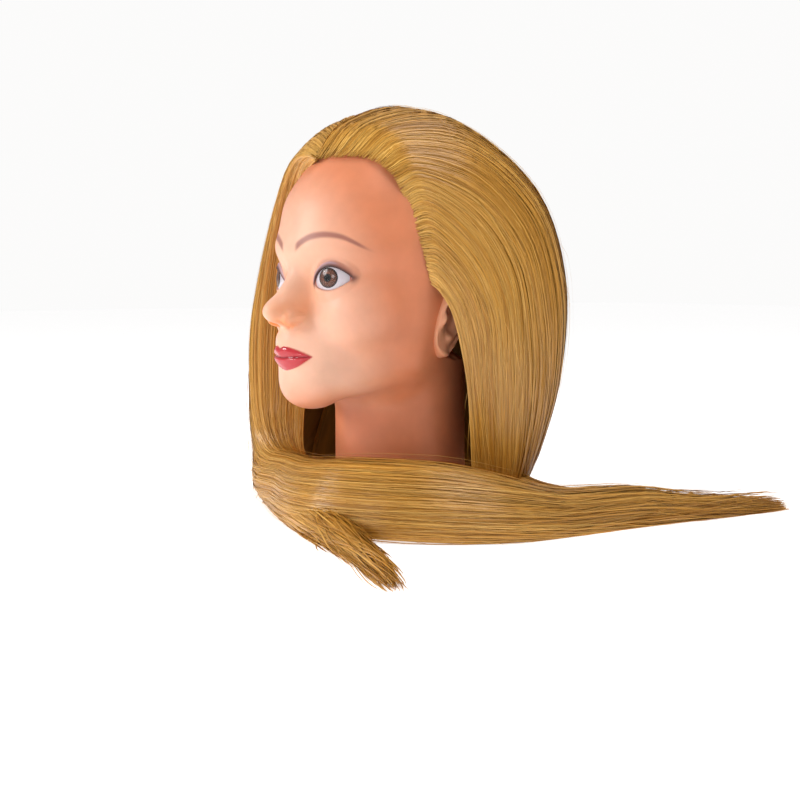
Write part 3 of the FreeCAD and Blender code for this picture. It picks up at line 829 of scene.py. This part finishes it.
BACK_GUIDES = [
    LEFT_GUIDES[-1],
    [(-5, -60, 268), (-6, -30, 286), (-5, 20, 292), (6, 80, 255),
     (10, 117, 190), (12, 120, 115), (22, 104, 55), (38, 80, 12)],
    [(-7, -30, 285), (-11, 6, 291), (-19, 54, 274), (-30, 92, 222),
     (-36, 110, 165), (-34, 112, 105), (-14, 102, 50), (26, 82, 12)],
    [(-8, -5, 290), (-21, 24, 287), (-42, 58, 260), (-58, 82, 212),
     (-66, 94, 158), (-64, 98, 100), (-46, 94, 44), (14, 84, 11)],
    [(-8, 15, 291), (-30, 34, 282), (-60, 58, 246), (-80, 71, 206),
     (-88, 79, 156), (-86, 82, 98), (-74, 82, 42), (-30, 86, 8)],
    [(-8, 30, 289), (-34, 37, 282), (-70, 44, 252), (-92, 50, 206),
     (-100, 54, 156), (-100, 56, 98), (-96, 58, 42), (-74, 66, 4)],
    [(-8, 36, 286), (-34, 38, 278), (-67, 34, 247), (-88, 28, 201),
     (-96, 22, 154), (-98, 6, 98), (-97, -14, 42), (-87, -26, 4)],
]
# from the parting down to where the hair turns round the front of the neck
RIGHT_GUIDES = [
    [(3, -73, 252), (-2, -72, 251), (-18, -67, 246), (-40, -58, 228), (-54, -47, 184),
     (-57, -44, 130), (-58, -46, 92), (-53, -52, 64), (-40, -60, 44)],
    [(2, -73, 252), (-7, -74, 254), (-28, -68, 248), (-50, -62, 226), (-63, -60, 182),
     (-67, -62, 130), (-67, -65, 88), (-62, -68, 60), (-46, -71, 44)],
    [(2, -73, 253), (-12, -75, 257), (-37, -72, 251), (-59, -70, 225), (-72, -74, 181),
     (-78, -79, 130), (-77, -79, 80), (-69, -79, 56), (-50, -80, 42)],
    [(2, -69, 256), (-18, -69, 264), (-48, -66, 251), (-69, -67, 218), (-80, -73, 174),
     (-85, -79, 124), (-84, -80, 76), (-76, -82, 51), (-55, -86, 38)],
    [(2, -58, 267), (-22, -54, 276), (-54, -54, 257), (-76, -58, 220), (-88, -66, 172),
     (-93, -70, 120), (-90, -76, 71), (-82, -79, 45), (-60, -88, 31)],
    [(1, -36, 281), (-24, -32, 286), (-60, -34, 264), (-84, -40, 222), (-95, -48, 172),
     (-99, -54, 116), (-97, -65, 65), (-88, -74, 38), (-65, -88, 23)],
    [(0, -12, 288), (-26, -8, 291), (-66, -10, 264), (-90, -14, 220), (-99, -20, 168),
     (-102, -28, 110), (-100, -49, 58), (-93, -65, 30), (-69, -86, 15)],
    [(-1, 10, 290), (-28, 14, 291), (-68, 14, 261), (-91, 14, 216), (-101, 12, 164),
     (-103, 4, 106), (-102, -27, 50), (-95, -52, 22), (-72, -81, 9)],
    [(-2, 31, 289), (-32, 36, 285), (-70, 42, 252), (-92, 46, 206), (-101, 48, 156),
     (-103, 42, 96), (-103, 6, 40), (-97, -30, 14), (-75, -73, 4)],
]
# where these guides meet the swept lock: degrees round its section, the inner guides at its top
RIGHT_GUIDE_TURNS = [125, 100, 80, 62, 45, 31, 19, 9, -2]
FIRST_JOINED_STATION = 3

# Stations of a lock that lies on the table: x and y of its middle, half its width, its height.
SWEEP_STATIONS = [
    (-80, -60, 2, 12), (-73, -67, 8, 34), (-54, -72, 13, 40), (-22, -77, 20, 42),
    (12, -80, 29, 42), (46, -78, 39, 46), (78, -60, 45, 47), (104, -34, 46, 45),
    (122, -4, 42, 37), (132, 32, 33, 26), (140, 66, 24, 24), (147, 100, 18, 22),
    (155, 134, 12, 15), (163, 168, 7.5, 10), (169, 200, 4.5, 6), (172, 228, 1.5, 2.5),
]
FRONT_STATIONS = [
    (-58, -70, 2, 6), (-22, -83, 12, 26), (30, -98, 16, 22), (75, -108, 17, 17),
    (115, -119, 13, 12), (155, -132, 9, 8), (195, -148, 5, 4.5), (228, -162, 1.5, 2),
]
GATHER_STATIONS = [
    (60, 40, 3, 16), (64, 46, 15, 40), (66, 50, 19, 34), (84, 62, 20, 24),
    (104, 84, 17, 18), (124, 116, 12, 13), (140, 155, 8, 9), (154, 205, 2.5, 3),
]
LOCK_WAIST = 0.07  # height of a lock's widest level, as a share of its height


# ---------------------------------------------------------------- hair surfaces


def lock_section(stations, turn):
    """Points round a lock that lies on the table: turn 0 is its outer side, a half its inner."""
    stations = np.asarray(stations, dtype=float)
    run = np.gradient(stations[:, :2], axis=0)
    run /= np.linalg.norm(run, axis=1, keepdims=True)
    outward = np.stack([run[:, 1], -run[:, 0]], axis=1)
    spread = np.cos(turn)[:, None] * stations[:, 2]
    level = stations[:, :2] + spread[..., None] * outward
    waist = LOCK_WAIST * stations[:, 3]
    rise = np.sin(turn)[:, None]
    above = rise * (stations[:, 3] - waist)
    below = rise * (waist - 0.5)
    height = waist + np.where(rise > 0, above, below)
    return np.concatenate([level, height[..., None]], axis=-1)


def sheet_through(guides):
    """A fine table of points over the smooth surface through guide curves."""
    across, along = 96, 120
    return curve_through(np.stack([curve_through(guide, along) for guide in guides]), across)


def closed_lock(stations):
    """A fine table of points over a closed lock that lies on the table."""
    across, along = 96, 140
    turns = np.linspace(-0.5 * pi, 1.5 * pi, across)
    return lock_section(curve_through(stations, along), turns)


class Surface:
    """A surface of hair as a table of points, with normals that point away from its middle."""

    def __init__(self, table, middle):
        self.table = table
        run = np.gradient(table, axis=1)
        aside = np.gradient(table, axis=0)
        normal = unit(np.cross(run, aside))
        outward = np.sum(normal * (table - np.asarray(middle, dtype=float)), axis=-1).mean()
        self.normal = normal * np.sign(outward)

    def sample(self, table, across, along):
        rows, columns = table.shape[:2]
        a = np.clip(across, 0, 1) * (rows - 1)
        b = np.clip(along, 0, 1) * (columns - 1)
        a0 = np.minimum(a.astype(int), rows - 2)
        b0 = np.minimum(b.astype(int), columns - 2)
        fa = (a - a0)[..., None]
        fb = (b - b0)[..., None]
        low = table[a0, b0] * (1 - fb) + table[a0, b0 + 1] * fb
        high = table[a0 + 1, b0] * (1 - fb) + table[a0 + 1, b0 + 1] * fb
        return low * (1 - fa) + high * fa

    def place(self, across, along):
        return self.sample(self.table, across, along), self.sample(self.normal, across, along)


def lock_surface(stations):
    table = closed_lock(stations)
    return Surface(table, table.mean(axis=0, keepdims=True))


def round_the_neck(guides):
    """Carries the guides of the far side on over the swept lock, the inner ones to its top."""
    section = lock_section(SWEEP_STATIONS, np.radians(RIGHT_GUIDE_TURNS))
    joined = section[:, FIRST_JOINED_STATION:]
    return [guide + [tuple(point) for point in line] for guide, line in zip(guides, joined)]


# ---------------------------------------------------------------- strands

CLUMPS = 130  # clumps of strands across a surface
CLUMP_LIFT = 0.25
TILT = 0.3
TABLE_GAP = 0.4


def ribbon_mesh(name, rng, points, side, normals, share, width):
    """Strands as flat ribbons along their points, shaded as if each were round."""
    count, steps = points.shape[:2]
    tilt = rng.normal(0, TILT, count)[:, None, None]
    across = side * np.cos(tilt) + normals * np.sin(tilt)
    taper = smooth_step(-0.02, 0.06, share) * smooth_step(1.02, 0.80, share) ** 0.6
    half = width / 2 * rng.uniform(0.7, 1.3, count)[:, None] * (0.12 + 0.88 * taper)
    left = points - across * half[..., None]
    right = points + across * half[..., None]
    vertices = np.stack([left, right], axis=2).reshape(-1, 3)
    vertices[:, 2] = np.maximum(vertices[:, 2], TABLE_GAP / 2)
    base = (np.arange(count) * steps * 2)[:, None] + (np.arange(steps - 1) * 2)[None, :]
    faces = np.stack([base, base + 1, base + 3, base + 2], axis=-1).reshape(-1, 4)
    item = new_mesh_object(name, vertices, faces)
    bow = 0.45 * side
    lean = side * rng.normal(0, 0.12, count)[:, None, None]
    shading = np.stack([normals + lean - bow, normals + lean + bow], axis=2).reshape(-1, 3)
    shading /= np.linalg.norm(shading, axis=1, keepdims=True)
    item.data.normals_split_custom_set_from_vertices(shading)
    return item


def add_strands(
    name, surface, count, steps, width, depth, roots, tips, seed, material, nodes=(),
    root_bias=1.0, tip_bias=1.0, clump=0.3, wobble=0.010, lift=0.3, fray=1.0,
    tone=0.5, root_tone=0.0, front_edge_light=0.0,
):
    """Many flat strands over a surface of hair, as one mesh.

    depth is how far strands lie under the surface; roots and tips are the ranges where they
    start and end along it. Random draws run in this order."""
    rng = np.random.default_rng(seed)
    share = np.linspace(0, 1, steps)[None, :]
    across = np.sort(rng.uniform(0.0, 1.0, count))
    start = roots[0] + (roots[1] - roots[0]) * rng.random(count) ** root_bias
    end = tips[0] + (tips[1] - tips[0]) * rng.random(count) ** tip_bias
    along = start[:, None] + (end - start)[:, None] * share
    # neighbouring strands gather into clumps that wander together
    group = np.round(across * CLUMPS) / CLUMPS
    pull = clump * smooth_step(0.1, 0.9, along)
    phase = rng.uniform(0, 2 * pi, count)[:, None]
    wave = wobble * np.sin(along * rng.uniform(3, 7, count)[:, None] + phase)
    place = across[:, None] + (group - across)[:, None] * pull + wave * smooth_step(0.0, 0.3, share)
    points, normals = surface.place(place, along)
    under = rng.random(count) ** 1.3 * depth
    rise = lift * rng.normal(0, 1, count)
    rise = rise + CLUMP_LIFT * np.sin(group * 91.7 + 1.3 * np.sin(group * 37))
    offset = rise[:, None] * smooth_step(0.02, 0.25, share) - under[:, None]
    points = points + normals * offset[..., None]
    points[..., 2] = np.maximum(points[..., 2], TABLE_GAP)
    side = unit(np.cross(unit(np.gradient(points, axis=1)), normals))
    stray = smooth_step(0.45, 1.0, share) ** 1.6 * fray
    points = points + side * (stray * rng.normal(0, 1, count)[:, None])[..., None]
    points = points + normals * (0.5 * stray * rng.normal(0, 1, count)[:, None])[..., None]
    points[..., 2] = np.maximum(points[..., 2], TABLE_GAP)
    item = ribbon_mesh(name, rng, points, side, normals, share, width)
    tones = tone + 0.10 * rng.normal(0, 1, count)
    tones = tones + 0.06 * np.sin(group * 153.1 + 2 * np.sin(group * 47.0))
    tones = tones + 0.07 * np.sin(across * 23.0 + 1.5 * np.sin(across * 9.0))
    tones = tones[:, None] + root_tone * smooth_step(0.16, 0.0, along)
    # painted light: paler strands along the sheet's front edge, by the face
    tones = tones + front_edge_light * smooth_step(0.34, 0.0, place)
    set_number(item, "tone", np.repeat(np.clip(tones, 0, 1).ravel(), 2))
    shade = 1 - 0.25 * (under / depth)[:, None] * np.ones_like(along)
    set_number(item, "shade", np.repeat(shade.ravel(), 2))
    number = np.repeat(rng.random(count), steps * 2)
    set_uv(item, number * 50 + np.tile([0.0, 1.0], count * steps), np.repeat(along.ravel(), 2))
    add_piece(item, material, "hair_fibre", *nodes)


def add_shade_sheet(name, surface, inset, span, reach, material):
    """A darker sheet of painted shade a little under the strands, so that no light passes between
    them.
    """
    rows, columns = 90, 90
    across, along = np.meshgrid(
        np.linspace(*span, rows), np.linspace(*reach, columns), indexing="ij"
    )
    points, normals = surface.place(across, along)
    ripple = 0.3 * np.sin(across * 160 + 2 * np.sin(across * 31))
    fade = smooth_step(0, 0.1, along - reach[0])
    points = points - normals * (inset * fade + 1.3 + ripple)[..., None]
    points[..., 2] = np.maximum(points[..., 2], 0.3)
    item = new_mesh_object(name, points.reshape(-1, 3), grid_faces(rows, columns))
    # the painted shade is lighter near the roots
    near_root = smooth_step(0.28, 0.10, along).ravel()
    set_number(item, "tone", 0.32 + 0.15 * near_root)
    set_number(item, "shade", 0.6 + 0.35 * near_root)
    set_uv(item, across.ravel() * 40, along.ravel())
    add_piece(item, material, "hair_fibre")


def add_hair():
    blonde = hair_material("hair_fibre")
    # a darker copy of the fibre, for the painted shade under the strands
    dim = hair_material("hair_fibre_shaded", 0.7)
    axis = (0, 0, 150)
    left = Surface(sheet_through(LEFT_GUIDES), axis)
    back = Surface(sheet_through(BACK_GUIDES), axis)
    right = Surface(sheet_through(round_the_neck(RIGHT_GUIDES)), (-30, -40, 20))
    sweep = lock_surface(SWEEP_STATIONS)
    front = lock_surface(FRONT_STATIONS)
    gather = lock_surface(GATHER_STATIONS)
    for name, surface, inset, span, reach in (
        ("left_hair_shade_sheet", left, 2.5, (0.02, 1.0), (0.05, 1.0)),
        ("crown_hair_shade_sheet", back, 2.5, (0.0, 1.0), (0.05, 1.0)),
        ("right_hair_shade_sheet", right, 2.5, (0.03, 1.0), (0.03, 0.75)),
        ("tail_lock_shade_sheet", sweep, 0.8, (0.0, 1.0), (0.0, 0.78)),
        ("front_lock_shade_sheet", front, 0.8, (0.0, 1.0), (0.0, 0.78)),
        ("gathered_lock_shade_sheet", gather, 0.8, (0.0, 1.0), (0.0, 0.78)),
    ):
        add_shade_sheet(name, surface, inset, span, reach, dim)
    fine = {"width": 0.8, "depth": 2.6, "material": blonde}
    add_strands(
        "left_hair_layer", left, count=3300, steps=30, roots=(0.0, 0.35), tips=(0.94, 1.0),
        root_bias=2.0, nodes=("hair_left_side_section", "hair_top_section"), seed=3,
        root_tone=0.3, front_edge_light=0.16, **fine)
    add_strands(
        "left_hair_back_layer", left, count=3300, steps=30, roots=(0.0, 0.5), tips=(0.94, 1.0),
        root_bias=1.3, nodes=("hair_left_back_section",), seed=4, front_edge_light=0.14, **fine)
    add_strands(
        "crown_hair_layer", back, count=3300, steps=30, roots=(0.0, 0.45), tips=(0.93, 1.0),
        nodes=("hair_crown_section", "hair_right_back_section"), seed=5, **fine)
    add_strands(
        "right_hair_layer", right, count=2200, steps=45, roots=(0.0, 0.10), tips=(0.5, 1.0),
        root_bias=1.6, nodes=("hair_right_side_section",), seed=6, root_tone=0.2, **fine)
    add_strands(
        "swept_lock", right, count=3000, steps=34, roots=(0.12, 0.42), tips=(0.74, 1.0),
        nodes=("hair_swept_lock",), seed=7, fray=4.0, **fine)
    add_strands(
        "tail_lock", sweep, count=2400, steps=34, roots=(0.1, 0.6), tips=(0.72, 1.0),
        nodes=("hair_tail_lock",), seed=8, fray=4.5, tip_bias=1.3, **fine)
    add_strands(
        "front_lock", front, count=2000, steps=28, roots=(0.0, 0.3), tips=(0.45, 1.0),
        nodes=("hair_front_lock",), seed=9, fray=3.5, tip_bias=1.7, **fine)
    add_strands(
        "gathered_lock", gather, count=1500, steps=22, roots=(0.0, 0.3), tips=(0.7, 1.0),
        nodes=("hair_gathered_lock",), seed=10, fray=3.5, **fine)
    stray = {
        "width": 0.32, "depth": 0.5, "material": blonde, "steps": 26,
        "tips": (0.6, 0.98), "clump": 0.0, "wobble": 0.03, "tone": 0.75,
    }
    for name, surface, count, roots, lift, fray, seed in (
        ("flyaway_hairs_near", left, 260, (0.0, 0.5), 1.6, 3.0, 11),
        ("flyaway_hairs_back", back, 160, (0.0, 0.5), 1.6, 3.0, 12),
        ("flyaway_hairs_swept", right, 320, (0.0, 0.6), 1.8, 5.0, 13),
    ):
        add_strands(name, surface, count, roots=roots, lift=lift, fray=fray, seed=seed, **stray)


add_hair()


# ---------------------------------------------------------------- plain fittings


def steel_material():
    """Zinc-plated steel with fine brushing along the screw."""
    n = Nodes("screw_steel")
    brushed = n.noise(400, 4, stretch=(1, 1, 12))
    n.feed(n.between(brushed, (0.42, 0.42, 0.44), (0.66, 0.66, 0.68)), "Base Color")
    n.feed(n.spread(brushed, 0.28, 0.42), "Roughness")
    n.set(Metallic=1.0)
    return n.material


def finish_cad_nodes():
    """Better materials for the CAD nodes that stay as they are."""
    finishes = {
        "clamp_socket_cup": plastic_material("socket_plastic", (0.035, 0.035, 0.04), 0.42),
        "neck_base_plate": plastic_material("base_plastic", (0.06, 0.06, 0.065), 0.55),
        "base_plate_screws": steel_material(),
    }
    for node, material in finishes.items():
        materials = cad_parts[node].data.materials
        materials.clear()
        materials.append(material)


finish_cad_nodes()


# ---------------------------------------------------------------- studio


def add_floor():
    """A plain pale floor that glows a little, so that it stays pale far from the lights."""
    reach = 6
    corners = [(-reach, -reach, 0), (reach, -reach, 0), (reach, reach, 0), (-reach, reach, 0)]
    mesh = bpy.data.meshes.new("floor")
    mesh.from_pydata(corners, [], [(0, 1, 2, 3)])
    floor = bpy.data.objects.new("floor", mesh)
    bpy.context.scene.collection.objects.link(floor)
    n = Nodes("pale_floor")
    n.feed(n.between(n.noise(30, 3), (0.88, 0.88, 0.88), (0.92, 0.92, 0.92)), "Base Color")
    n.set(Roughness=0.9, Emission_Strength=0.6, Emission_Color=(1.0, 0.99, 0.985, 1))
    mesh.materials.append(n.material)


def add_world():
    """Soft white fill from all round, and a nearly white background behind the object."""
    world = bpy.data.worlds.new("studio")
    world.use_nodes = True
    tree = world.node_tree
    fill = tree.nodes["Background"]
    fill.inputs["Color"].default_value = (1, 1, 1, 1)
    fill.inputs["Strength"].default_value = 0.42
    white = tree.nodes.new("ShaderNodeBackground")
    white.inputs["Color"].default_value = (0.97, 0.965, 0.96, 1)
    white.inputs["Strength"].default_value = 1.0
    seen = tree.nodes.new("ShaderNodeLightPath")
    mix = tree.nodes.new("ShaderNodeMixShader")
    tree.links.new(seen.outputs["Is Camera Ray"], mix.inputs[0])
    tree.links.new(fill.outputs[0], mix.inputs[1])
    tree.links.new(white.outputs[0], mix.inputs[2])
    tree.links.new(mix.outputs[0], tree.nodes["World Output"].inputs["Surface"])
    bpy.context.scene.world = world


def add_light(name, place, aim, size, power):
    """A round soft light, in metres and watts, turned to what it lights."""
    data = bpy.data.lights.new(name, "AREA")
    data.shape = "DISK"
    data.size = size
    data.energy = power
    light = bpy.data.objects.new(name, data)
    bpy.context.scene.collection.objects.link(light)
    light.location = place
    light.rotation_euler = (Vector(aim) - Vector(place)).to_track_quat("-Z", "Y").to_euler()


add_floor()
add_world()
add_light("key", (-0.75, -1.35, 0.75), (0, 0, 0.15), 0.6, 12.8)
add_light("front", (0.35, -1.6, 0.45), (0, 0, 0.15), 0.35, 3.5)
add_light("top", (0.4, 0.2, 1.5), (0, 0, 0.2), 0.9, 13)
